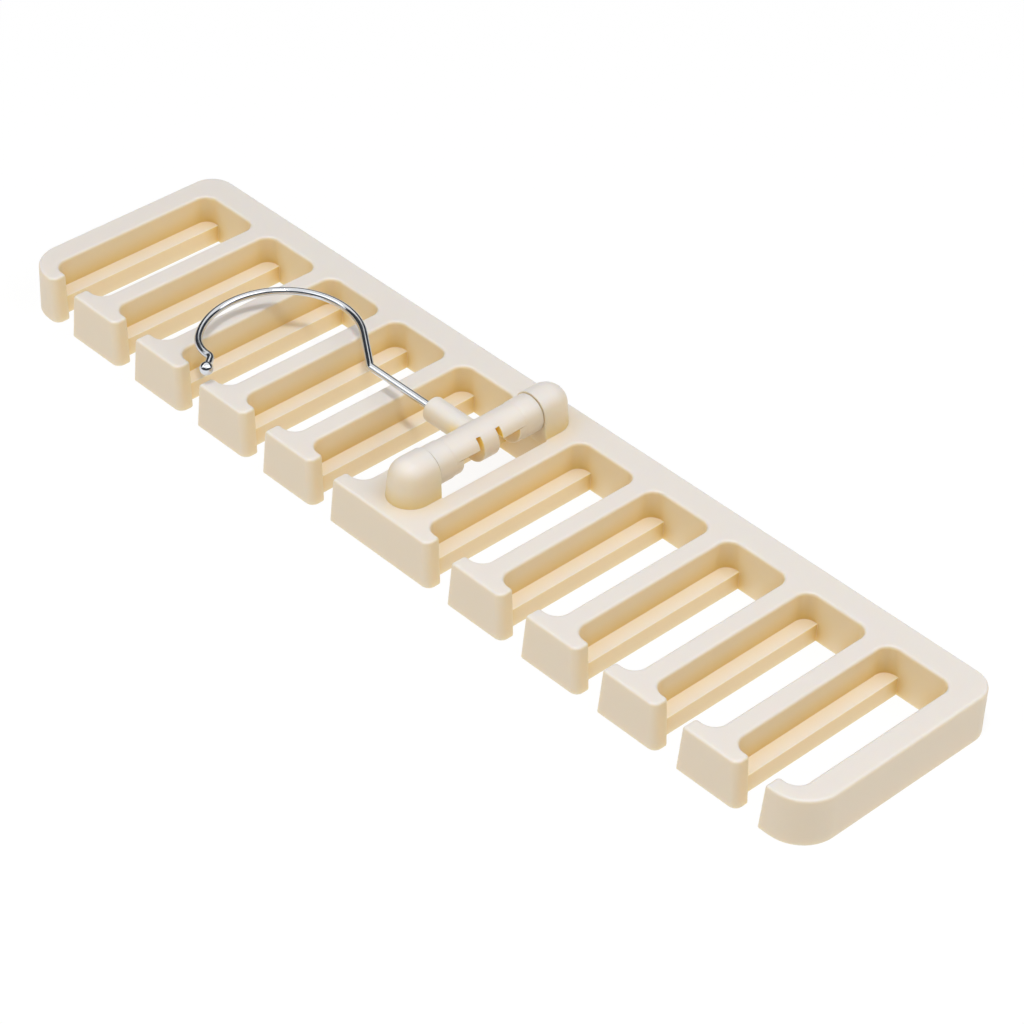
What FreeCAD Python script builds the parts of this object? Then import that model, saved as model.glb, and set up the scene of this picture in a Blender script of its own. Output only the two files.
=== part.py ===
import FreeCAD, Part
import math
import os
from dataclasses import dataclass

import Sketcher
from FreeCAD import Placement, Rotation, Vector

# Tie hanger: a moulded comb with tie slots, a folding T-shaped yoke between two domed lugs, and a wire
# hook that turns in the yoke's neck. Millimetres. The origin is under the middle of the comb, at its
# bottom face. X runs along the comb, Y from the heads of the tines to the spine, and Z up. The hook lies
# folded over the -X half.

SIZES = {
    # Comb
    "comb_length": 330.0,
    "comb_depth": 77.0,
    "comb_height": 15.8,
    "front_corner_radius": 12.0,
    "back_corner_radius": 8.0,
    "top_edge_radius": 1.0,
    "spine_depth": 10.0,
    # Slots, which are alike, in a row on each side of the centre block
    "slot_pitch": 30.0,
    "first_slot_offset": 25.0,
    "slot_width": 23.4,
    "slot_corner_radius": 4.0,
    "ledge_width": 4.95,
    "ledge_height": 6.3,
    # Heads of the tines, and the mouths between them
    "head_depth": 5.4,
    "head_root_radius": 4.4,
    "head_lead_radius": 2.5,
    "head_edge_radius": 0.8,
    "head_tip_radius": 1.2,
    "mouth_width": 7.7,
    "mouth_top_width": 10.2,
    # Hollow underside
    "moulded_wall": 2.2,
    "moulded_roof": 2.5,
    "block_hollow_length": 45.0,
    "window_width": 14.4,
    # Hinge lugs
    "lug_spacing": 41.0,
    "lug_straight_length": 6.2,
    "lug_radius": 6.5,
    "lug_foot_radius": 7.0,
    "axis_rise": 6.5,
    # Yoke
    "end_play": 0.25,
    "running_clearance": 0.05,
    "trunnion_radius": 2.5,
    "trunnion_length": 4.0,
    "barrel_end_radius": 6.05,
    "barrel_end_length": 5.8,
    "barrel_radius": 5.8,
    "barrel_taper_length": 0.8,
    "neck_radius": 4.0,
    "neck_reach": 20.0,
    "neck_edge_radius": 0.8,
    "neck_root_radius": 1.0,
    "cutout_inner": 3.0,
    "cutout_outer": 11.0,
    "cutout_back": 3.2,
    "cutout_rise": 1.4,
    "notch_width": 1.5,
    "notch_front": 1.0,
    "notch_rise": 4.6,
    # Hook
    "wire_radius": 1.2,
    "wire_inner_reach": 6.2,
    "collar_radius": 2.0,
    "collar_length": 3.0,
    "collar_reach": 7.0,
    "collar_fit": 0.02,
    "shank_reach": 46.2,
    "shank_bend_radius": 2.2,
    "run_length": 15.7,
    "crook_radius": 24.8,
    "crook_lip_radius": 12.0,
    "tip_bend_radius": 2.2,
    "tip_length": 4.6,
    "ball_radius": 2.1,
    # One overrun for every cut that has to pass a face
    "overrun": 2.0,
}

# How far the wire turns in each of its bends, and how far the hook has rolled towards the heads
ANGLES = {
    "shank_turn_angle": 34.9,
    "crook_turn_angle": 167.5,
    "crook_lip_turn_angle": 49.4,
    "tip_turn_angle": 55.3,
    "hook_roll_angle": 2.0,
}

COUNTS = {
    "slots_per_side": 5,
}

# How near two measures lie when they count as one
MATCH_TOLERANCE = 0.02

doc = FreeCAD.newDocument("TieHanger")
sheet = doc.addObject("Spreadsheet::Sheet", "Sizes")


@dataclass(frozen=True)
class Length:
    """A size with its value and the spreadsheet expression that it comes from."""

    value: float
    text: str

    def __add__(self, other):
        return Length(self.value + other.value, f"({self.text} + {other.text})")

    def __sub__(self, other):
        return Length(self.value - other.value, f"({self.text} - {other.text})")

    def __neg__(self):
        return Length(-self.value, f"(-{self.text})")

    @property
    def half(self):
        return Length(self.value / 2, f"({self.text} / 2)")


ZERO = Length(0.0, "0")
QUARTER_TURN = Length(90.0, "90 deg")
HALF_TURN = Length(180.0, "180 deg")


def size(name):
    """The named size, as a Length."""
    return Length(SIZES[name], f"{sheet.Name}.{name}")


def turn_of(name):
    """The named angle in degrees, with its expression."""
    return Length(ANGLES[name], f"{sheet.Name}.{name} * 1 deg")


def row_span():
    """The distance along the comb from the first slot of a side to the last."""
    gaps = COUNTS["slots_per_side"] - 1
    pitch = size("slot_pitch")
    return Length(pitch.value * gaps, f"({pitch.text} * ({sheet.Name}.slots_per_side - 1))")


def fill_sheet():
    """Write every driving dimension to the spreadsheet, with its name as the cell's alias."""
    for row, (name, value) in enumerate({**SIZES, **ANGLES, **COUNTS}.items(), start=1):
        sheet.set(f"A{row}", name)
        sheet.set(f"B{row}", str(value))
        sheet.setAlias(f"B{row}", name)
    doc.recompute()


def new_body(label):
    """A body with the node's name as its label."""
    body = doc.addObject("PartDesign::Body", label)
    body.Label = label
    return body


def origin_part(body, role):
    """A plane or axis of the body's own origin."""
    return next(part for part in body.Origin.OriginFeatures if part.Role == role)


def new_sketch(body, name, plane, shift=(ZERO, ZERO, ZERO), turn=None):
    """A sketch on an origin plane, shifted along the plane's axes and turned anticlockwise in it."""
    sketch = body.newObject("Sketcher::SketchObject", name)
    sketch.AttachmentSupport = [(origin_part(body, plane), "")]
    sketch.MapMode = "FlatFace"
    sketch.AttachmentOffset = Placement(Vector(*[part.value for part in shift]), Rotation())
    for axis, part in zip("xyz", shift):
        if part is not ZERO:
            sketch.setExpression(f"AttachmentOffset.Base.{axis}", part.text)
    if turn is not None:
        sketch.AttachmentOffset.Rotation = Rotation(Vector(0, 0, 1), turn.value)
        sketch.setExpression("AttachmentOffset.Rotation.Angle", turn.text)
    return sketch


def bind(sketch, kind, ends, length):
    """Add a dimension and bind it to the sheet."""
    index = sketch.addConstraint(Sketcher.Constraint(kind, *ends, length.value))
    sketch.setExpression(f"Constraints[{index}]", length.text)


def pin_x(sketch, geometry, point, x):
    """Fix a point's distance from the sketch's vertical axis."""
    if x is ZERO:
        sketch.addConstraint(Sketcher.Constraint("PointOnObject", geometry, point, -2))
    elif x.value > 0:
        bind(sketch, "DistanceX", (-1, 1, geometry, point), x)
    else:
        bind(sketch, "DistanceX", (geometry, point, -1, 1), -x)


def pin_y(sketch, geometry, point, y):
    """Fix a point's distance from the sketch's horizontal axis."""
    if y is ZERO:
        sketch.addConstraint(Sketcher.Constraint("PointOnObject", geometry, point, -1))
    elif y.value > 0:
        bind(sketch, "DistanceY", (-1, 1, geometry, point), y)
    else:
        bind(sketch, "DistanceY", (geometry, point, -1, 1), -y)


def draw_line(sketch, start, end):
    """Add a line between two points given as pairs of numbers."""
    return sketch.addGeometry(Part.LineSegment(Vector(*start, 0), Vector(*end, 0)))


def draw_arc(sketch, centre, radius, start, end):
    """Add an arc that runs anticlockwise between two angles in radians."""
    circle = Part.Circle(Vector(*centre, 0), Vector(0, 0, 1), radius)
    return sketch.addGeometry(Part.ArcOfCircle(circle, start, end))


def draw_polygon(sketch, corners):
    """Add a closed outline of straight lines, with every corner fixed."""
    points = [(x.value, y.value) for x, y in corners]
    lines = [draw_line(sketch, a, b) for a, b in zip(points, points[1:] + points[:1])]
    for line, following in zip(lines, lines[1:] + lines[:1]):
        sketch.addConstraint(Sketcher.Constraint("Coincident", line, 2, following, 1))
    for line, (x, y) in zip(lines, corners):
        pin_x(sketch, line, 1, x)
        pin_y(sketch, line, 1, y)


def draw_rectangle(sketch, x_range, y_range, low_radius, high_radius):
    """Add a rectangle with one corner radius at its low side and another at its high side."""
    (x_low, x_high), (y_low, y_high) = x_range, y_range
    left, right, low, high = x_low.value, x_high.value, y_low.value, y_high.value
    small, large = low_radius.value, high_radius.value
    lines = [
        draw_line(sketch, (left + small, low), (right - small, low)),
        draw_line(sketch, (right, low + small), (right, high - large)),
        draw_line(sketch, (right - large, high), (left + large, high)),
        draw_line(sketch, (left, high - large), (left, low + small)),
    ]
    centres = [
        ((right - small, low + small), low_radius),
        ((right - large, high - large), high_radius),
        ((left + large, high - large), high_radius),
        ((left + small, low + small), low_radius),
    ]
    for turn, (line, (centre, radius)) in enumerate(zip(lines, centres)):
        following = lines[(turn + 1) % len(lines)]
        if radius is ZERO:
            sketch.addConstraint(Sketcher.Constraint("Coincident", line, 2, following, 1))
            continue
        start = (turn - 1) * math.pi / 2
        arc = draw_arc(sketch, centre, radius.value, start, start + math.pi / 2)
        sketch.addConstraint(Sketcher.Constraint("Tangent", line, 2, arc, 1))
        sketch.addConstraint(Sketcher.Constraint("Tangent", arc, 2, following, 1))
        bind(sketch, "Radius", (arc,), radius)
    for line, kind in zip(lines, ("Horizontal", "Vertical", "Horizontal", "Vertical")):
        sketch.addConstraint(Sketcher.Constraint(kind, line))
    pin_y(sketch, lines[0], 1, y_low)
    pin_x(sketch, lines[1], 1, x_high)
    pin_y(sketch, lines[2], 1, y_high)
    pin_x(sketch, lines[3], 1, x_low)


def draw_circle(sketch, radius):
    """Add a circle about the sketch's origin."""
    circle = sketch.addGeometry(Part.Circle(Vector(0, 0, 0), Vector(0, 0, 1), radius.value))
    sketch.addConstraint(Sketcher.Constraint("Coincident", circle, 3, -1, 1))
    bind(sketch, "Radius", (circle,), radius)


def add_feature(body, kind, name, sketch, length=None, reverse=False):
    """Add a feature that works on a sketch, with its length bound to the sheet."""
    feature = body.newObject(f"PartDesign::{kind}", name)
    feature.Profile = sketch
    feature.Reversed = reverse
    if length is not None:
        feature.Length = length.value
        feature.setExpression("Length", length.text)
    doc.recompute()
    return feature


def add_turned(body, kind, name, sketch):
    """Add a full Revolution or Groove about the sketch's horizontal axis."""
    feature = body.newObject(f"PartDesign::{kind}", name)
    feature.Profile = sketch
    feature.ReferenceAxis = (sketch, ["H_Axis"])
    doc.recompute()
    return feature


def add_fillet(body, name, edges, radius):
    """Round the edges of the body so far that a test accepts."""
    base = body.Tip
    chosen = [f"Edge{index}" for index, edge in enumerate(base.Shape.Edges, start=1) if edges(edge)]
    fillet = body.newObject("PartDesign::Fillet", name)
    fillet.Base = (base, chosen)
    fillet.Radius = radius.value
    fillet.setExpression("Radius", radius.text)
    doc.recompute()
    return fillet


def add_row(body, name, features, span, spare=0):
    """Repeat features over a span of the comb, once for each slot of a side less the spare ones."""
    row = body.newObject("PartDesign::LinearPattern", name)
    row.Originals = features
    row.Direction = (origin_part(body, "X_Axis"), [""])
    row.Length = span.value
    row.setExpression("Length", span.text)
    row.Occurrences = COUNTS["slots_per_side"] - spare
    row.setExpression("Occurrences", f"{sheet.Name}.slots_per_side - {spare}")
    body.Tip = row
    doc.recompute()
    return row


def close_to(value, target):
    """True where two measures count as one."""
    return abs(value - target) < MATCH_TOLERANCE


def spans(edge, axis):
    """The least and greatest coordinate of an edge's ends along an axis."""
    values = [getattr(vertex.Point, axis) for vertex in edge.Vertexes]
    return min(values), max(values)


def lies_at(edge, axis, place):
    """True where an edge's ends and middle lie at one place along an axis."""
    values = [*spans(edge, axis), getattr(edge.CenterOfMass, axis)]
    return all(close_to(value, place.value) for value in values)


def slot_offset(edge):
    """How far an edge's middle lies along the comb from the centre line of the nearest slot."""
    first, pitch = SIZES["first_slot_offset"], SIZES["slot_pitch"]
    places = [first + pitch * turn for turn in range(COUNTS["slots_per_side"])]
    offsets = [edge.CenterOfMass.x - side * place for place in places for side in (-1, 1)]
    return min(offsets, key=abs)


def is_upright(edge):
    """True where an edge runs over the full height of the comb."""
    low, high = spans(edge, "z")
    return close_to(high - low, SIZES["comb_height"])


def half_gap():
    """Half of the gap between the two ledges of a slot."""
    return size("slot_width").half - size("ledge_width")


def at_mouth(edge):
    """True where a side of a mouth meets the comb's front face."""
    on_front = lies_at(edge, "y", -size("comb_depth").half)
    return on_front and is_upright(edge) and abs(slot_offset(edge)) < half_gap().value


def make_comb():
    """The comb with its slots, centre block and hinge lugs."""
    body = new_body("comb_body")
    length, depth, height = size("comb_length"), size("comb_depth"), size("comb_height")
    overrun = size("overrun")

    outline = new_sketch(body, "CombOutline", "XY_Plane")
    draw_rectangle(
        outline,
        (-length.half, length.half),
        (-depth.half, depth.half),
        size("front_corner_radius"),
        size("back_corner_radius"),
    )
    add_feature(body, "Pad", "CombPad", outline, height)

    front = -depth.half
    head_back = front + size("head_depth")
    slot_back = depth.half - size("spine_depth")
    first = size("first_slot_offset")
    row_starts = (-(first + row_span()), first)

    ledge = size("ledge_height")
    half_slot = size("slot_width").half
    upper = new_sketch(body, "SlotOutline", "XY_Plane", (ZERO, ZERO, height + overrun))
    lower = new_sketch(body, "GapOutline", "XY_Plane", (ZERO, ZERO, ledge + overrun))
    mouth = new_sketch(body, "MouthOutline", "XZ_Plane", (ZERO, ZERO, depth.half + overrun))
    for middle in row_starts:
        draw_rectangle(
            upper,
            (middle - half_slot, middle + half_slot),
            (head_back, slot_back),
            size("head_root_radius"),
            size("slot_corner_radius"),
        )
        gap_range = (middle - half_gap(), middle + half_gap())
        draw_rectangle(lower, gap_range, (head_back, slot_back), ZERO, ZERO)
        foot, rim = size("mouth_width").half, size("mouth_top_width").half
        draw_polygon(
            mouth,
            [
                (middle - foot, ZERO),
                (middle + foot, ZERO),
                (middle + rim, height),
                (middle - rim, height),
            ],
        )
    slot = add_feature(body, "Pocket", "Slot", upper, height - ledge + overrun)
    gap = add_feature(body, "Pocket", "SlotGap", lower, ledge + overrun + overrun)
    opening = add_feature(body, "Pocket", "Mouth", mouth, size("head_depth") + overrun + overrun)
    add_row(body, "SlotRow", [slot, gap, opening], row_span())

    add_fillet(
        body,
        "HeadLeads",
        lambda edge: at_mouth(edge) and slot_offset(edge) < 0,
        size("head_lead_radius"),
    )
    add_fillet(
        body,
        "HeadEdges",
        lambda edge: at_mouth(edge) and slot_offset(edge) > 0,
        size("head_edge_radius"),
    )
    add_fillet(
        body,
        "HeadTips",
        lambda edge: is_upright(edge) and lies_at(edge, "y", head_back),
        size("head_tip_radius"),
    )
    add_fillet(body, "TopEdges", lambda edge: lies_at(edge, "z", height), size("top_edge_radius"))

    core_comb(body, head_back, slot_back)
    add_lugs(body)
    return body


def core_comb(body, head_back, slot_back):
    """Core the underside of the comb to a moulded wall, and open the window in the centre block."""
    height, ledge, overrun = size("comb_height"), size("ledge_height"), size("overrun")
    wall, roof = size("moulded_wall"), size("moulded_roof")
    pitch, first = size("slot_pitch"), size("first_slot_offset")
    outer_slot = first + row_span()
    depth, length = size("comb_depth"), size("comb_length")

    tine_cores = new_sketch(body, "TineCores", "XY_Plane")
    half_core = pitch.half - half_gap() - wall
    for middle in (-(outer_slot - pitch.half), first + pitch.half):
        x_range = (middle - half_core, middle + half_core)
        draw_rectangle(tine_cores, x_range, (head_back, slot_back), ZERO, ZERO)
    tines = add_feature(body, "Pocket", "TineCore", tine_cores, ledge - wall, reverse=True)
    add_row(body, "TineCoreRow", [tines], row_span() - pitch, spare=1)

    spine_cores = new_sketch(body, "SpineCores", "XY_Plane")
    half_cell = (pitch - wall).half
    for middle in (-outer_slot, first):
        x_range = (middle - half_cell, middle + half_cell)
        draw_rectangle(spine_cores, x_range, (slot_back + wall, depth.half - wall), ZERO, ZERO)
    spine = add_feature(body, "Pocket", "SpineCore", spine_cores, height - roof, reverse=True)
    add_row(body, "SpineCoreRow", [spine], row_span())

    arm_cores = new_sketch(body, "ArmCores", "XY_Plane")
    arm_range = (outer_slot + half_gap() + wall, length.half - wall)
    arm_depths = (-depth.half + size("front_corner_radius"), slot_back)
    draw_rectangle(arm_cores, arm_range, arm_depths, ZERO, ZERO)
    draw_rectangle(arm_cores, (-arm_range[1], -arm_range[0]), arm_depths, ZERO, ZERO)
    add_feature(body, "Pocket", "ArmCore", arm_cores, ledge - wall, reverse=True)

    half_hollow = size("block_hollow_length").half
    half_flange = first - half_gap() - wall
    half_block = first - size("slot_width").half - wall
    foot_hollow = new_sketch(body, "BlockFootHollow", "XY_Plane")
    draw_rectangle(foot_hollow, (-half_flange, half_flange), (-half_hollow, half_hollow), ZERO, ZERO)
    add_feature(body, "Pocket", "BlockFoot", foot_hollow, ledge - wall, reverse=True)
    block_hollow = new_sketch(body, "BlockHollow", "XY_Plane")
    draw_rectangle(block_hollow, (-half_block, half_block), (-half_hollow, half_hollow), ZERO, ZERO)
    add_feature(body, "Pocket", "Block", block_hollow, height - roof, reverse=True)

    window = new_sketch(body, "WindowOutline", "XY_Plane", (ZERO, ZERO, height + overrun))
    half_window, reach = size("window_width").half, size("lug_spacing").half
    draw_rectangle(window, (-half_window, half_window), (-reach, reach), ZERO, ZERO)
    add_feature(body, "Pocket", "Window", window, roof + overrun + overrun)


def draw_bullet(sketch, half_width, flat_end, round_centre):
    """Add an outline with one flat end and one round end, pointing along the sketch's Y axis."""
    width, flat, centre = half_width.value, flat_end.value, round_centre.value
    left = draw_line(sketch, (-width, centre), (-width, flat))
    base = draw_line(sketch, (-width, flat), (width, flat))
    right = draw_line(sketch, (width, flat), (width, centre))
    nose = draw_arc(sketch, (0, centre), width, 0, math.pi)
    sketch.addConstraint(Sketcher.Constraint("Coincident", left, 2, base, 1))
    sketch.addConstraint(Sketcher.Constraint("Coincident", base, 2, right, 1))
    sketch.addConstraint(Sketcher.Constraint("Tangent", right, 2, nose, 1))
    sketch.addConstraint(Sketcher.Constraint("Tangent", nose, 2, left, 1))
    sketch.addConstraint(Sketcher.Constraint("Horizontal", base))
    sketch.addConstraint(Sketcher.Constraint("Vertical", left))
    pin_x(sketch, nose, 3, ZERO)
    pin_y(sketch, nose, 3, round_centre)
    bind(sketch, "Radius", (nose,), half_width)
    pin_y(sketch, base, 1, flat_end)


def add_lugs(body):
    """Add the two domed lugs to the centre block, each with a blind bore for the yoke's trunnion."""
    height, rise = size("comb_height"), size("axis_rise")
    inner = size("lug_spacing").half
    dome = inner + size("lug_straight_length")
    radius = size("lug_radius")

    foot = new_sketch(body, "LugFoot", "XY_Plane", (ZERO, ZERO, height))
    draw_bullet(foot, size("lug_foot_radius"), inner, dome)
    waist = new_sketch(body, "LugWaist", "XY_Plane", (ZERO, ZERO, height + rise))
    draw_bullet(waist, radius, inner, dome)
    post = body.newObject("PartDesign::AdditiveLoft", "LugPost")
    post.Profile = foot
    post.Sections = [waist]
    post.Ruled = True
    doc.recompute()

    outline = new_sketch(body, "LugDome", "YZ_Plane", (ZERO, height + rise, ZERO))
    base = draw_line(outline, (inner.value, 0), ((dome + radius).value, 0))
    nose = draw_arc(outline, (dome.value, 0), radius.value, 0, math.pi / 2)
    crown = draw_line(outline, (dome.value, radius.value), (inner.value, radius.value))
    face = draw_line(outline, (inner.value, radius.value), (inner.value, 0))
    for line, end, following, start in ((base, 2, nose, 1), (crown, 2, face, 1), (face, 2, base, 1)):
        outline.addConstraint(Sketcher.Constraint("Coincident", line, end, following, start))
    outline.addConstraint(Sketcher.Constraint("Tangent", nose, 2, crown, 1))
    outline.addConstraint(Sketcher.Constraint("Horizontal", crown))
    outline.addConstraint(Sketcher.Constraint("Vertical", face))
    pin_y(outline, base, 1, ZERO)
    pin_y(outline, nose, 3, ZERO)
    pin_y(outline, nose, 1, ZERO)
    pin_x(outline, nose, 3, dome)
    pin_x(outline, face, 1, inner)
    bind(outline, "Radius", (nose,), radius)
    crowned = add_turned(body, "Revolution", "LugCrown", outline)

    pair = body.newObject("PartDesign::Mirrored", "FrontLug")
    pair.Originals = [post, crowned]
    pair.MirrorPlane = (origin_part(body, "XZ_Plane"), [""])
    body.Tip = pair
    doc.recompute()

    reach = inner + size("end_play") + size("trunnion_length")
    socket = new_sketch(body, "TrunnionBore", "XZ_Plane", (ZERO, height + rise, reach))
    draw_circle(socket, size("trunnion_radius") + size("running_clearance"))
    add_feature(body, "Pocket", "TrunnionBores", socket, reach + reach)


def place_on_axis(body, roll=None):
    """Put a body that is drawn about the hinge axis at the axis's height, rolled about the wire's shank."""
    rise = size("comb_height") + size("axis_rise")
    body.Placement.Base.z = rise.value
    body.setExpression("Placement.Base.z", rise.text)
    if roll is not None:
        body.Placement.Rotation = Rotation(Vector(1, 0, 0), roll.value)
        body.setExpression("Placement.Rotation.Angle", roll.text)


def make_yoke():
    """The T-shaped yoke: a barrel with a trunnion at each end, and the neck that holds the wire."""
    body = new_body("swivel_yoke")
    barrel_end = size("lug_spacing").half - size("end_play")
    step = barrel_end - size("barrel_end_length")
    tip = barrel_end + size("trunnion_length")
    pin, rim, middle = size("trunnion_radius"), size("barrel_end_radius"), size("barrel_radius")

    outline = new_sketch(body, "BarrelOutline", "YZ_Plane")
    rear_half = [
        (tip, ZERO),
        (tip, pin),
        (barrel_end, pin),
        (barrel_end, rim),
        (step, rim),
        (step - size("barrel_taper_length"), middle),
    ]
    front_half = [(-y, z) for y, z in reversed(rear_half)]
    draw_polygon(outline, rear_half + front_half)
    add_turned(body, "Revolution", "Barrel", outline)

    neck_reach = size("neck_reach")
    neck = new_sketch(body, "NeckOutline", "YZ_Plane")
    draw_circle(neck, size("neck_radius"))
    add_feature(body, "Pad", "Neck", neck, neck_reach, reverse=True)
    add_fillet(body, "NeckEdge", lambda edge: lies_at(edge, "x", -neck_reach), size("neck_edge_radius"))
    add_fillet(
        body,
        "NeckRoot",
        lambda edge: edge.Curve.TypeId == "Part::GeomBSplineCurve",
        size("neck_root_radius"),
    )

    overrun, inner, outer = size("overrun"), size("cutout_inner"), size("cutout_outer")
    cutouts = new_sketch(body, "CutoutOutlines", "XY_Plane", (ZERO, ZERO, size("cutout_rise")))
    x_range = (-size("cutout_back"), middle + overrun)
    draw_rectangle(cutouts, x_range, (inner, outer), ZERO, ZERO)
    draw_rectangle(cutouts, x_range, (-outer, -inner), ZERO, ZERO)
    add_feature(body, "Pocket", "Cutouts", cutouts, size("cutout_rise") + middle + overrun)

    notches = new_sketch(body, "NotchOutlines", "XY_Plane", (ZERO, ZERO, size("notch_rise")))
    x_range = (size("notch_front"), middle + overrun)
    far_side = inner + size("notch_width")
    draw_rectangle(notches, x_range, (inner, far_side), ZERO, ZERO)
    draw_rectangle(notches, x_range, (-far_side, -inner), ZERO, ZERO)
    add_feature(body, "Pocket", "Notches", notches, size("notch_rise") + middle + overrun)

    clearance = size("running_clearance")
    bore_end = size("wire_inner_reach") - clearance
    bore = new_sketch(body, "WireBore", "YZ_Plane", (ZERO, ZERO, -(neck_reach + overrun)))
    draw_circle(bore, size("wire_radius") + clearance)
    add_feature(body, "Pocket", "WireHole", bore, neck_reach + overrun - bore_end, reverse=True)
    near = -(size("collar_reach") - clearance)
    far = -(size("collar_reach") + size("collar_length") + clearance)
    room = size("collar_radius") + clearance
    seat = new_sketch(body, "CollarSeat", "XY_Plane")
    draw_polygon(seat, [(far, ZERO), (near, ZERO), (near, room), (far, room)])
    add_turned(body, "Groove", "CollarRoom", seat)
    place_on_axis(body)
    return body


@dataclass
class Pen:
    """Draws the centre line of a bent wire, and keeps the end that it has reached and its heading."""

    sketch: object
    x: Length
    y: Length
    heading: Length
    last_end: tuple = ()

    def place(self):
        """The end so far, as a pair of numbers."""
        return self.x.value, self.y.value

    def move(self, length, heading):
        """Go towards a heading without drawing."""
        angle = math.radians(heading.value)
        self.x += Length(length.value * math.cos(angle), f"{length.text} * cos({heading.text})")
        self.y += Length(length.value * math.sin(angle), f"{length.text} * sin({heading.text})")

    def join(self, geometry, start, end):
        """Make a new piece go on smoothly from the one before it."""
        if self.last_end:
            self.sketch.addConstraint(Sketcher.Constraint("Tangent", *self.last_end, geometry, start))
        self.last_end = (geometry, end)

    def run(self, length):
        """Draw a straight run."""
        start = self.place()
        self.move(length, self.heading)
        line = draw_line(self.sketch, start, self.place())
        self.join(line, 1, 2)
        bind(self.sketch, "Distance", (line,), length)
        return line

    def bend(self, radius, turn, left):
        """Draw a bend to the left or to the right."""
        side = QUARTER_TURN if left else -QUARTER_TURN
        self.move(radius, self.heading + side)
        centre = self.place()
        start = math.radians((self.heading - side).value)
        self.heading += turn if left else -turn
        end = math.radians((self.heading - side).value)
        self.move(radius, self.heading - side)
        if left:
            arc = draw_arc(self.sketch, centre, radius.value, start, end)
            self.join(arc, 1, 2)
        else:
            arc = draw_arc(self.sketch, centre, radius.value, end, start)
            self.join(arc, 2, 1)
        bind(self.sketch, "Radius", (arc,), radius)
        bind(self.sketch, "Angle", (arc,), Length(math.radians(turn.value), turn.text))


def draw_hook_path(sketch):
    """Draw the wire's centre line in the order in which it is bent, from the neck to the tip."""
    inner = size("wire_inner_reach")
    pen = Pen(sketch, -inner, ZERO, HALF_TURN)
    shank = pen.run(size("shank_reach") - inner)
    sketch.addConstraint(Sketcher.Constraint("Horizontal", shank))
    pin_x(sketch, shank, 1, -inner)
    pin_y(sketch, shank, 1, ZERO)
    pen.bend(size("shank_bend_radius"), turn_of("shank_turn_angle"), left=False)
    pen.run(size("run_length"))
    pen.bend(size("crook_radius"), turn_of("crook_turn_angle"), left=True)
    pen.bend(size("crook_lip_radius"), turn_of("crook_lip_turn_angle"), left=True)
    pen.bend(size("tip_bend_radius"), turn_of("tip_turn_angle"), left=False)
    pen.run(size("tip_length"))
    return pen


def make_hook_wire():
    """The bent wire of the hook, swept along its centre line, and the pen at its tip."""
    body = new_body("hook_wire")
    path = new_sketch(body, "HookPath", "XY_Plane")
    tip = draw_hook_path(path)
    section = new_sketch(body, "WireSection", "YZ_Plane", (ZERO, ZERO, -size("wire_inner_reach")))
    draw_circle(section, size("wire_radius"))
    wire = body.newObject("PartDesign::AdditivePipe", "Wire")
    wire.Profile = section
    wire.Spine = (path, [])
    doc.recompute()
    place_on_axis(body, turn_of("hook_roll_angle"))
    return body, tip


def make_hook_collar():
    """The steel collar on the wire's inner end, which keeps the wire in the neck."""
    body = new_body("hook_collar")
    ring = new_sketch(body, "CollarRing", "YZ_Plane", (ZERO, ZERO, -size("collar_reach")))
    draw_circle(ring, size("collar_radius"))
    draw_circle(ring, size("wire_radius") + size("collar_fit"))
    add_feature(body, "Pad", "Collar", ring, size("collar_length"), reverse=True)
    place_on_axis(body, turn_of("hook_roll_angle"))
    return body


def make_tip_ball(tip):
    """The ball on the tip of the hook, with a blind socket for the wire's end."""
    body = new_body("hook_tip_ball")
    radius = size("ball_radius")
    socket = size("wire_radius") + size("collar_fit")
    mouth = -math.sqrt(radius.value**2 - socket.value**2)
    outline = new_sketch(body, "BallOutline", "XY_Plane", (tip.x, tip.y, ZERO), tip.heading)
    floor = draw_line(outline, (0, socket.value), (0, 0))
    axis = draw_line(outline, (0, 0), (radius.value, 0))
    skin = draw_arc(outline, (0, 0), radius.value, 0, math.atan2(socket.value, mouth))
    wall = draw_line(outline, (mouth, socket.value), (0, socket.value))
    edges = (floor, axis, skin, wall)
    for edge, following in zip(edges, edges[1:] + edges[:1]):
        outline.addConstraint(Sketcher.Constraint("Coincident", edge, 2, following, 1))
    outline.addConstraint(Sketcher.Constraint("Coincident", axis, 1, -1, 1))
    outline.addConstraint(Sketcher.Constraint("Coincident", skin, 3, -1, 1))
    outline.addConstraint(Sketcher.Constraint("Horizontal", axis))
    outline.addConstraint(Sketcher.Constraint("Horizontal", wall))
    outline.addConstraint(Sketcher.Constraint("Vertical", floor))
    bind(outline, "Radius", (skin,), radius)
    pin_y(outline, floor, 1, socket)
    add_turned(body, "Revolution", "Ball", outline)
    place_on_axis(body, turn_of("hook_roll_angle"))
    return body


def export(bodies):
    """Check every object of the document, then write each body to a file with its label as the name."""
    os.makedirs("parts", exist_ok=True)
    doc.recompute()
    for item in doc.Objects:
        if "Invalid" in item.State or "Error" in item.State:
            raise RuntimeError(f"{item.Label} failed: {item.State}")
    for body in bodies:
        if not body.Shape.isValid() or len(body.Shape.Solids) != 1:
            raise RuntimeError(f"{body.Label} is not one sound solid")
        body.Shape.exportStep(f"parts/{body.Label}.step")
        print(body.Label, round(body.Shape.Volume))


fill_sheet()
hook_wire, hook_tip = make_hook_wire()
export([make_comb(), make_yoke(), hook_wire, make_hook_collar(), make_tip_ball(hook_tip)])
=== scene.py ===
"""Tie hanger: a moulded ivory comb with a chromed wire hook that folds and turns on a small yoke."""

import logging
import math
from collections.abc import Sequence
from dataclasses import dataclass
from enum import Enum

import bpy
from mathutils import Matrix, Vector

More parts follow.
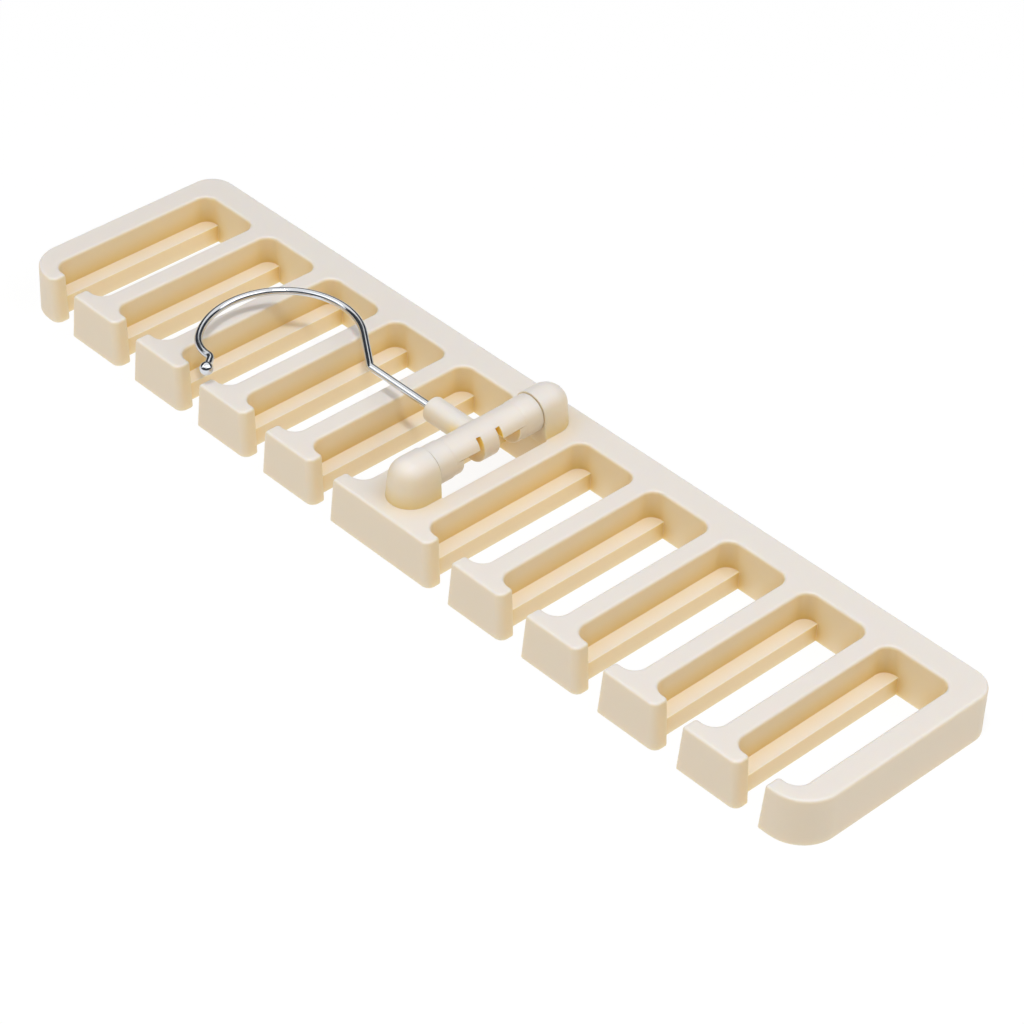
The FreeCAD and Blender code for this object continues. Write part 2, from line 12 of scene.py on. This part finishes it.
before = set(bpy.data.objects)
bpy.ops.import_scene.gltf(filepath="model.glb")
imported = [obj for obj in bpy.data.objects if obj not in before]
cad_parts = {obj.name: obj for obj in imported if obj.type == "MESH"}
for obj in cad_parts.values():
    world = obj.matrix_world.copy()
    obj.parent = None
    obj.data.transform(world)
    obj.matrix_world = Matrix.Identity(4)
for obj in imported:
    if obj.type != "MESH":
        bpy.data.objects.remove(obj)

LOG = logging.getLogger("tie_hanger")

Colour = tuple[float, float, float, float]
Place = tuple[float, float, float]
Span = tuple[float, float]
Inputs = dict[str | int, object]

WHITE: Colour = (1.0, 1.0, 1.0, 1.0)

# Places of the sockets that a mix node uses for colours.
MIX_FACTOR = 0
MIX_FIRST = 6
MIX_SECOND = 7
MIX_COLOUR = 2


class Piece(Enum):
    """The pieces of the hanger, by the names of their nodes."""

    COMB = "comb_body"
    YOKE = "swivel_yoke"
    WIRE = "hook_wire"
    BALL = "hook_tip_ball"
    COLLAR = "hook_collar"


class Operation(Enum):
    """What the node graphs do with two numbers, by Blender's names."""

    ADD = "ADD"
    SUBTRACT = "SUBTRACT"
    MULTIPLY = "MULTIPLY"
    MAXIMUM = "MAXIMUM"


class Graph:
    """A node tree that is being filled."""

    def __init__(self, tree: bpy.types.NodeTree) -> None:
        """Start from an empty tree.

        Args:
            tree: The node tree of a material, a world or a group.
        """
        self.tree = tree
        self.tree.nodes.clear()

    def add(self, kind: str, inputs: Inputs | None = None, **settings: object) -> bpy.types.Node:
        """Add a node, set its properties, and link or set its inputs.

        Args:
            kind: The node's type.
            inputs: Input name or index to a plain value or to the output socket that feeds it.
            settings: Properties of the node.

        Returns:
            The new node.
        """
        node = self.tree.nodes.new(kind)
        for name, value in settings.items():
            setattr(node, name, value)
        for name, value in (inputs or {}).items():
            if isinstance(value, bpy.types.NodeSocket):
                self.tree.links.new(value, node.inputs[name])
            else:
                node.inputs[name].default_value = value
        return node

    def work_out(
        self, operation: Operation, first: object, second: object, clamp: bool = False
    ) -> bpy.types.NodeSocket:
        """Work out one number from two.

        Args:
            operation: What is done with the numbers.
            first: A number or the socket that gives it.
            second: A number or the socket that gives it.
            clamp: Whether the result stays between 0 and 1.

        Returns:
            The socket with the result.
        """
        values = {0: first, 1: second}
        return self.add("ShaderNodeMath", values, operation=operation.value, use_clamp=clamp).outputs[0]

    def stretch(self, value: bpy.types.NodeSocket, ends: Span) -> bpy.types.NodeSocket:
        """Stretch a range of a value smoothly to 0 to 1.

        Args:
            value: The socket with the value.
            ends: What becomes 0 and what becomes 1.

        Returns:
            The socket with the result.
        """
        inputs = {"Value": value, "From Min": ends[0], "From Max": ends[1]}
        return self.add("ShaderNodeMapRange", inputs, interpolation_type="SMOOTHSTEP").outputs[0]

    def mix(self, factor: object, first: object, second: object) -> bpy.types.NodeSocket:
        """Mix two colours.

        Args:
            factor: How much of the second colour there is.
            first: A colour or the socket that gives it.
            second: A colour or the socket that gives it.

        Returns:
            The socket with the colour.
        """
        inputs = {MIX_FACTOR: factor, MIX_FIRST: first, MIX_SECOND: second}
        return self.add("ShaderNodeMix", inputs, data_type="RGBA").outputs[MIX_COLOUR]

    def noise(self, place: bpy.types.NodeSocket, scale: object, detail: float) -> bpy.types.NodeSocket:
        """Add a noise texture.

        Args:
            place: The socket with the coordinates.
            scale: How many features there are in a metre, as a number or a socket.
            detail: How many finer layers the noise has.

        Returns:
            The socket with the noise.
        """
        inputs = {"Vector": place, "Scale": scale, "Detail": detail}
        return self.add("ShaderNodeTexNoise", inputs).outputs["Fac"]

    def relief(self, height: bpy.types.NodeSocket, strength: float) -> bpy.types.NodeSocket:
        """Add a relief from a height in metres.

        Args:
            height: The socket with the height.
            strength: How much of the relief shows.

        Returns:
            The socket with the normal.
        """
        inputs = {"Strength": strength, "Distance": 1.0, "Height": height}
        return self.add("ShaderNodeBump", inputs).outputs[0]


def start_group(
    name: str, inputs: dict[str, float], outputs: Sequence[str]
) -> tuple[Graph, bpy.types.Node]:
    """Make an empty shader node group with number sockets.

    Args:
        name: The group's name.
        inputs: Name and default of each input.
        outputs: Name of each output.

    Returns:
        The group's graph and its input node.
    """
    tree = bpy.data.node_groups.new(name, "ShaderNodeTree")
    for label, default in inputs.items():
        socket = tree.interface.new_socket(label, in_out="INPUT", socket_type="NodeSocketFloat")
        socket.default_value = default
    for label in outputs:
        tree.interface.new_socket(label, in_out="OUTPUT", socket_type="NodeSocketFloat")
    graph = Graph(tree)
    return graph, graph.add("NodeGroupInput")


def start_material(name: str) -> tuple[bpy.types.Material, Graph]:
    """Make a material with no nodes yet.

    Args:
        name: The material's name.

    Returns:
        The material and its graph.
    """
    material = bpy.data.materials.new(name)
    material.use_nodes = True
    return material, Graph(material.node_tree)


@dataclass(frozen=True)
class MouldedSkin:
    """The skin of a moulding: soft unevenness from shrinking, a fine spark-eroded grain, and flow tone."""

    waves: float = 60.0
    wave_depth: float = 0.00004
    wave_detail: float = 2.0
    grains: float = 2200.0
    grain_depth: float = 0.000006
    grain_detail: float = 1.0

    def make(self) -> bpy.types.NodeTree:
        """Make the group.

        Returns:
            A group that gives a height in metres and a tone about 0.5.
        """
        defaults = {
            "Waves": self.waves,
            "Grains": self.grains,
            "Wave Depth": self.wave_depth,
            "Grain Depth": self.grain_depth,
        }
        graph, given = start_group("moulded_skin", defaults, ("Height", "Tone"))
        place = graph.add("ShaderNodeTexCoord").outputs["Object"]
        wave = graph.noise(place, given.outputs["Waves"], self.wave_detail)
        grain = graph.noise(place, given.outputs["Grains"], self.grain_detail)
        low = graph.work_out(Operation.MULTIPLY, wave, given.outputs["Wave Depth"])
        fine = graph.work_out(Operation.MULTIPLY, grain, given.outputs["Grain Depth"])
        graph.add("NodeGroupOutput", {"Height": graph.work_out(Operation.ADD, low, fine), "Tone": wave})
        return graph.tree


@dataclass(frozen=True)
class HollowMask:
    """Masks for painted shade and painted top light: where the plastic stands in its own hollows and inner
    corners, and where it faces up.
    """

    reach: float = 0.02
    corner_reach: float = 0.006
    samples: int = 16
    slopes: Span = (0.35, 0.95)

    def make(self) -> bpy.types.NodeTree:
        """Make the group.

        Returns:
            A group that gives a mask of hollows and a mask of inner corners, for painted glow and painted
            shade, and a mask of faces that face up, for painted top light.
        """
        reaches = {"Reach": self.reach, "Corner Reach": self.corner_reach}
        graph, given = start_group("hollow_mask", reaches, ("Hollow", "Corner", "Upward"))
        masks = {}
        for label, reach in zip(("Hollow", "Corner"), reaches):
            near = {"Distance": given.outputs[reach]}
            shade = graph.add("ShaderNodeAmbientOcclusion", near, samples=self.samples, only_local=True)
            masks[label] = graph.work_out(Operation.SUBTRACT, 1.0, shade.outputs["AO"], clamp=True)
        facing = graph.add("ShaderNodeTexCoord").outputs["Normal"]
        rise = graph.add("ShaderNodeSeparateXYZ", {0: facing}).outputs["Z"]
        graph.add("NodeGroupOutput", {**masks, "Upward": graph.stretch(rise, self.slopes)})
        return graph.tree


@dataclass(frozen=True)
class Hairlines:
    """Polishing hairlines and finger haze on plated metal."""

    lines: float = 900.0
    line_detail: float = 3.0
    line_depth: float = 0.000002
    line_stretch: Place = (0.12, 1.0, 1.0)
    clouds: float = 140.0
    cloud_detail: float = 2.0
    cloud_edges: Span = (0.4, 0.75)

    def make(self) -> bpy.types.NodeTree:
        """Make the group.

        Returns:
            A group that gives a height in metres and a haze mask.
        """
        defaults = {"Lines": self.lines, "Clouds": self.clouds, "Depth": self.line_depth}
        graph, given = start_group("hairlines", defaults, ("Height", "Haze"))
        place = graph.add("ShaderNodeTexCoord").outputs["Object"]
        along = graph.add("ShaderNodeMapping", {"Vector": place, "Scale": self.line_stretch}).outputs[0]
        lines = graph.noise(along, given.outputs["Lines"], self.line_detail)
        clouds = graph.noise(place, given.outputs["Clouds"], self.cloud_detail)
        height = graph.work_out(Operation.MULTIPLY, lines, given.outputs["Depth"])
        graph.add("NodeGroupOutput", {"Height": height, "Haze": graph.stretch(clouds, self.cloud_edges)})
        return graph.tree


@dataclass(frozen=True)
class Effects:
    """The node groups that the finishes share."""

    skin: bpy.types.NodeTree
    hollows: bpy.types.NodeTree
    hairlines: bpy.types.NodeTree


@dataclass(frozen=True)
class PlasticFinish:
    """Ivory plastic that lets some light through, with painted golden glow in its hollows, painted golden
    shade in its inner corners and painted top light on faces that face up.
    """

    name: str
    side: Colour = (0.74, 0.635, 0.485, 1.0)
    # Faces that face up take this paler copy of the side colour: painted top light.
    painted_top_light: Colour = (0.83, 0.78, 0.73, 1.0)
    # Painted golden glow in the hollows, standing for light that passes between the walls.
    painted_hollow_glow: Colour = (0.90, 0.71, 0.37, 1.0)
    # Painted golden shade in the inner corners.
    painted_corner_shade: Colour = (0.74, 0.53, 0.18, 1.0)
    painted_glow_gain: float = 1.15
    painted_shade_gain: float = 1.9
    ledge_share: float = 0.28
    reach: float = 0.035
    corner_reach: float = 0.006
    tone_ends: Span = (0.2, 0.8)
    tone_share: float = 0.05
    tone_roughness: float = 0.08
    roughness: float = 0.42
    relief: float = 0.6
    refraction: float = 1.49
    translucency: float = 0.5
    light_depth: float = 0.004
    light_colour: Place = (1.0, 0.8, 0.5)

    def make(self, effects: Effects) -> bpy.types.Material:
        """Make the material.

        Args:
            effects: The shared node groups.

        Returns:
            The new material.
        """
        material, graph = start_material(self.name)
        skin = graph.add("ShaderNodeGroup", node_tree=effects.skin)
        tone = graph.stretch(skin.outputs["Tone"], self.tone_ends)
        stained = graph.work_out(Operation.MULTIPLY, tone, self.tone_share)
        dulled = graph.work_out(Operation.MULTIPLY, tone, self.tone_roughness)
        shader = graph.add(
            "ShaderNodeBsdfPrincipled",
            {
                "Base Color": graph.mix(stained, self.paint_hollow_light(graph, effects), self.side),
                "Roughness": graph.work_out(Operation.ADD, dulled, self.roughness),
                "Normal": graph.relief(skin.outputs["Height"], self.relief),
                "IOR": self.refraction,
                "Subsurface Weight": self.translucency,
                "Subsurface Radius": self.light_colour,
                "Subsurface Scale": self.light_depth,
            },
        )
        graph.add("ShaderNodeOutputMaterial", {"Surface": shader.outputs[0]})
        return material

    def paint_hollow_light(self, graph: Graph, effects: Effects) -> bpy.types.NodeSocket:
        """Add the colours of the sides, the painted top light, the painted glow in the hollows and the
        painted shade in the inner corners.

        Args:
            graph: The material's graph.
            effects: The shared node groups.

        Returns:
            The socket with the colour.
        """
        reaches = {"Reach": self.reach, "Corner Reach": self.corner_reach}
        hollows = graph.add("ShaderNodeGroup", reaches, node_tree=effects.hollows)
        # Painted top light: faces that face up take the paler colour and less of the painted glow and
        # shade.
        painted_top_light = hollows.outputs["Upward"]
        paler = graph.work_out(Operation.MULTIPLY, painted_top_light, 1.0 - self.ledge_share)
        share = graph.work_out(Operation.SUBTRACT, 1.0, paler)
        colour = graph.mix(painted_top_light, self.side, self.painted_top_light)
        # Hollows get painted golden glow and inner corners get painted golden shade.
        tints = (("Hollow", self.painted_glow_gain, self.painted_hollow_glow), ("Corner", self.painted_shade_gain, self.painted_corner_shade))
        for label, gain, tint in tints:
            mask = graph.work_out(Operation.MULTIPLY, hollows.outputs[label], gain)
            colour = graph.mix(graph.work_out(Operation.MULTIPLY, mask, share, clamp=True), colour, tint)
        return colour


@dataclass(frozen=True)
class MetalFinish:
    """Plated or plain turned metal."""

    name: str
    colour: Colour = (0.70, 0.72, 0.755, 1.0)
    haze_colour: Colour = (0.62, 0.64, 0.675, 1.0)
    roughness: float = 0.08
    haze: float = 0.10
    relief: float = 0.3

    def make(self, effects: Effects) -> bpy.types.Material:
        """Make the material.

        Args:
            effects: The shared node groups.

        Returns:
            The new material.
        """
        material, graph = start_material(self.name)
        lines = graph.add("ShaderNodeGroup", node_tree=effects.hairlines)
        haze = graph.work_out(Operation.MULTIPLY, lines.outputs["Haze"], self.haze)
        shader = graph.add(
            "ShaderNodeBsdfPrincipled",
            {
                "Base Color": graph.mix(lines.outputs["Haze"], self.colour, self.haze_colour),
                "Roughness": graph.work_out(Operation.ADD, haze, self.roughness),
                "Normal": graph.relief(lines.outputs["Height"], self.relief),
                "Metallic": 1.0,
            },
        )
        graph.add("ShaderNodeOutputMaterial", {"Surface": shader.outputs[0]})
        return material


def dress_piece(piece: Piece, material: bpy.types.Material) -> None:
    """Give a piece its material.

    Args:
        piece: The piece.
        material: The material that takes the place of its plain one.
    """
    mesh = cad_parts[piece.value].data
    mesh.materials.clear()
    mesh.materials.append(material)
    LOG.info("%s dressed as %s", piece.value, material.name)


@dataclass(frozen=True)
class SoftEdges:
    """The slight rounding that a mould leaves on the edges which are sharp in the solids."""

    width: float = 0.00025
    segments: int = 2
    least_angle: float = 80.0
    seam: float = 0.000002
    flatness: float = 0.3
    face_weight: int = 100

    def add(self, piece: Piece) -> None:
        """Soften a piece's edges with modifiers, which leave its own mesh as it is.

        Args:
            piece: The piece.
        """
        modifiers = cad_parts[piece.value].modifiers
        weld = modifiers.new("close_seams", "WELD")
        weld.merge_threshold = self.seam
        flats = modifiers.new("join_flats", "DECIMATE")
        flats.decimate_type = "DISSOLVE"
        flats.angle_limit = math.radians(self.flatness)
        bevel = modifiers.new("soft_edges", "BEVEL")
        bevel.limit_method = "ANGLE"
        bevel.angle_limit = math.radians(self.least_angle)
        bevel.width = self.width
        bevel.segments = self.segments
        bevel.use_clamp_overlap = False
        normals = modifiers.new("even_shading", "WEIGHTED_NORMAL")
        normals.weight = self.face_weight
        normals.keep_sharp = False
        LOG.info("%s edges softened", piece.value)


@dataclass
class Moulding:
    """A moulded piece with softened edges."""

    piece: Piece
    finish: PlasticFinish
    edges: SoftEdges = SoftEdges()

    def build(self) -> None:
        """Soften the moulding's edges."""
        self.edges.add(self.piece)

    def dress(self, effects: Effects) -> None:
        """Give the moulding its plastic."""
        dress_piece(self.piece, self.finish.make(effects))


@dataclass
class Comb(Moulding):
    """The moulded comb with its slots and lugs."""

    piece: Piece = Piece.COMB
    finish: PlasticFinish = PlasticFinish("comb_ivory")


@dataclass
class Yoke(Moulding):
    """The yoke that folds between the lugs, with cut-outs sunk deeply into its barrel."""

    piece: Piece = Piece.YOKE
    # The yoke has less painted glow in its hollows, and stronger, more orange painted shade in its inner
    # corners.
    finish: PlasticFinish = PlasticFinish(
        "yoke_ivory", painted_corner_shade=(0.95, 0.67, 0.16, 1.0), painted_glow_gain=0.5, painted_shade_gain=2.2, roughness=0.36
    )


@dataclass
class Hook:
    """The chromed wire with its ball, and the collar that keeps it in the neck."""

    chrome: MetalFinish = MetalFinish("hook_chrome")
    steel: MetalFinish = MetalFinish(
        "turned_steel", (0.55, 0.55, 0.56, 1.0), (0.45, 0.45, 0.46, 1.0), roughness=0.3, haze=0.15
    )

    def build(self) -> None:
        """Report the pieces that stay as the solids give them."""
        for piece in (Piece.WIRE, Piece.BALL, Piece.COLLAR):
            LOG.info("%s kept as in the solids", piece.value)

    def dress(self, effects: Effects) -> None:
        """Give the wire, the ball and the collar their metal.

        Args:
            effects: The shared node groups.
        """
        chrome = self.chrome.make(effects)
        dress_piece(Piece.WIRE, chrome)
        dress_piece(Piece.BALL, chrome)
        dress_piece(Piece.COLLAR, self.steel.make(effects))


def add_sheet(
    name: str, corners: Sequence[Sequence[float]], material: bpy.types.Material
) -> bpy.types.Object:
    """Add a flat sheet to the scene.

    Args:
        name: The sheet's name.
        corners: Its four corners, in order.
        material: Its material.

    Returns:
        The new sheet.
    """
    mesh = bpy.data.meshes.new(name)
    mesh.from_pydata(corners, [], [(0, 1, 2, 3)])
    mesh.materials.append(material)
    sheet = bpy.data.objects.new(name, mesh)
    bpy.context.scene.collection.objects.link(sheet)
    return sheet


@dataclass(frozen=True)
class Lamp:
    """A square soft light that points at the middle of the hanger."""

    name: str
    place: Place
    size: float
    power: float

    def build(self) -> None:
        """Make the light."""
        data = bpy.data.lights.new(self.name, "AREA")
        data.size = self.size
        data.energy = self.power
        lamp = bpy.data.objects.new(self.name, data)
        lamp.location = self.place
        lamp.rotation_euler = (-Vector(self.place)).to_track_quat("-Z", "Y").to_euler()
        bpy.context.scene.collection.objects.link(lamp)


@dataclass(frozen=True)
class DarkCard:
    """An upright dark card that only reflections see, so that the chrome has dark bands."""

    name: str
    place: Place
    width: float = 2.6
    height: float = 1.2
    tone: Colour = (0.05, 0.054, 0.06, 1.0)

    def build(self) -> None:
        """Make the card, facing the hanger."""
        centre = Vector(self.place)
        along = Vector((-centre.y, centre.x, 0.0)).normalized() * self.width / 2
        rise = Vector((0.0, 0.0, self.height / 2))
        near, far = centre - along, centre + along
        material, graph = start_material(self.name)
        felt = graph.add("ShaderNodeEmission", {"Color": self.tone, "Strength": 1.0})
        graph.add("ShaderNodeOutputMaterial", {"Surface": felt.outputs[0]})
        card = add_sheet(self.name, (near - rise, far - rise, far + rise, near + rise), material)
        card.visible_camera = False
        card.visible_diffuse = False
        card.visible_shadow = False
        card.visible_transmission = False


@dataclass
class Studio:
    """The floor, the lights, the cards and the camera."""

    lens: float = 122.46
    sensor: float = 36.0
    clip_start: float = 0.01
    camera_place: Place = (0.569973, -0.558205, 0.629757)
    camera_right: Place = (0.68749648, 0.72524109, 0.03706686)
    camera_up: Place = (-0.47157743, 0.40705374, 0.78225442)
    floor_size: float = 6.0
    floor_drop: float = 0.0002
    floor_glow: float = 0.9
    floor_paper: Colour = (0.115, 0.115, 0.115, 1.0)
    world_light: float = 0.3
    lamps: tuple[Lamp, ...] = (
        Lamp("top", (0.25, -0.35, 1.5), 0.2, 9.1),
        Lamp("left", (-0.585, -1.256, 0.8), 1.5, 7.2),
        Lamp("right", (1.03, 0.48, 1.13), 1.5, 9.0),
    )
    cards: tuple[DarkCard, ...] = (
        DarkCard("card_front", (0.0, -1.3, 0.62)),
        DarkCard("card_back", (0.0, 1.3, 0.62)),
        DarkCard("card_left", (-1.3, 0.0, 0.62)),
        DarkCard("card_right", (1.3, 0.0, 0.62)),
    )

    def build(self) -> None:
        """Make the floor, the world, the lights, the cards and the camera."""
        bpy.context.scene.view_settings.view_transform = "Standard"
        self.build_floor()
        self.build_world()
        for item in (*self.lamps, *self.cards):
            item.build()
        self.build_camera()

    def build_floor(self) -> None:
        """Make the pale floor, a lit table that shows white and keeps a faint shadow."""
        half = self.floor_size / 2
        signs = ((-1, -1), (1, -1), (1, 1), (-1, 1))
        corners = [(x * half, y * half, -self.floor_drop) for x, y in signs]
        material, graph = start_material("floor_paper")
        paper = graph.add("ShaderNodeBsdfDiffuse", {"Color": self.floor_paper})
        glow = graph.add("ShaderNodeEmission", {"Color": WHITE, "Strength": self.floor_glow})
        lit = graph.add("ShaderNodeAddShader", {0: paper.outputs[0], 1: glow.outputs[0]})
        graph.add("ShaderNodeOutputMaterial", {"Surface": lit.outputs[0]})
        floor = add_sheet("floor", corners, material)

    def build_world(self) -> None:
        """Make the white surroundings, dimmer as a light than as a background."""
        world = bpy.data.worlds.new("white_room")
        world.use_nodes = True
        graph = Graph(world.node_tree)
        rays = graph.add("ShaderNodeLightPath").outputs
        seen = graph.work_out(Operation.MAXIMUM, rays["Is Camera Ray"], rays["Is Glossy Ray"])
        seen = graph.work_out(Operation.MAXIMUM, seen, rays["Is Transmission Ray"])
        extra = graph.work_out(Operation.MULTIPLY, seen, 1.0 - self.world_light)
        strength = graph.work_out(Operation.ADD, extra, self.world_light)
        back = graph.add("ShaderNodeBackground", {"Color": WHITE, "Strength": strength})
        graph.add("ShaderNodeOutputWorld", {"Surface": back.outputs[0]})
        bpy.context.scene.world = world

    def build_camera(self) -> None:
        """Make the camera at the photograph's viewing angle."""
        data = bpy.data.cameras.new("camera")
        data.lens = self.lens
        data.sensor_width = self.sensor
        data.clip_start = self.clip_start
        camera = bpy.data.objects.new("camera", data)
        right, up = Vector(self.camera_right), Vector(self.camera_up)
        turn = Matrix((right, up, right.cross(up))).transposed().to_4x4()
        camera.matrix_world = Matrix.Translation(self.camera_place) @ turn
        bpy.context.scene.collection.objects.link(camera)
        bpy.context.scene.camera = camera


def main() -> None:
    """Build and dress the hanger and its studio."""
    logging.basicConfig(level=logging.INFO)
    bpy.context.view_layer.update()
    effects = Effects(MouldedSkin().make(), HollowMask().make(), Hairlines().make())
    for assembly in (Comb(), Yoke(), Hook()):
        assembly.build()
        assembly.dress(effects)
    Studio().build()


if __name__ == "__main__":
    main()
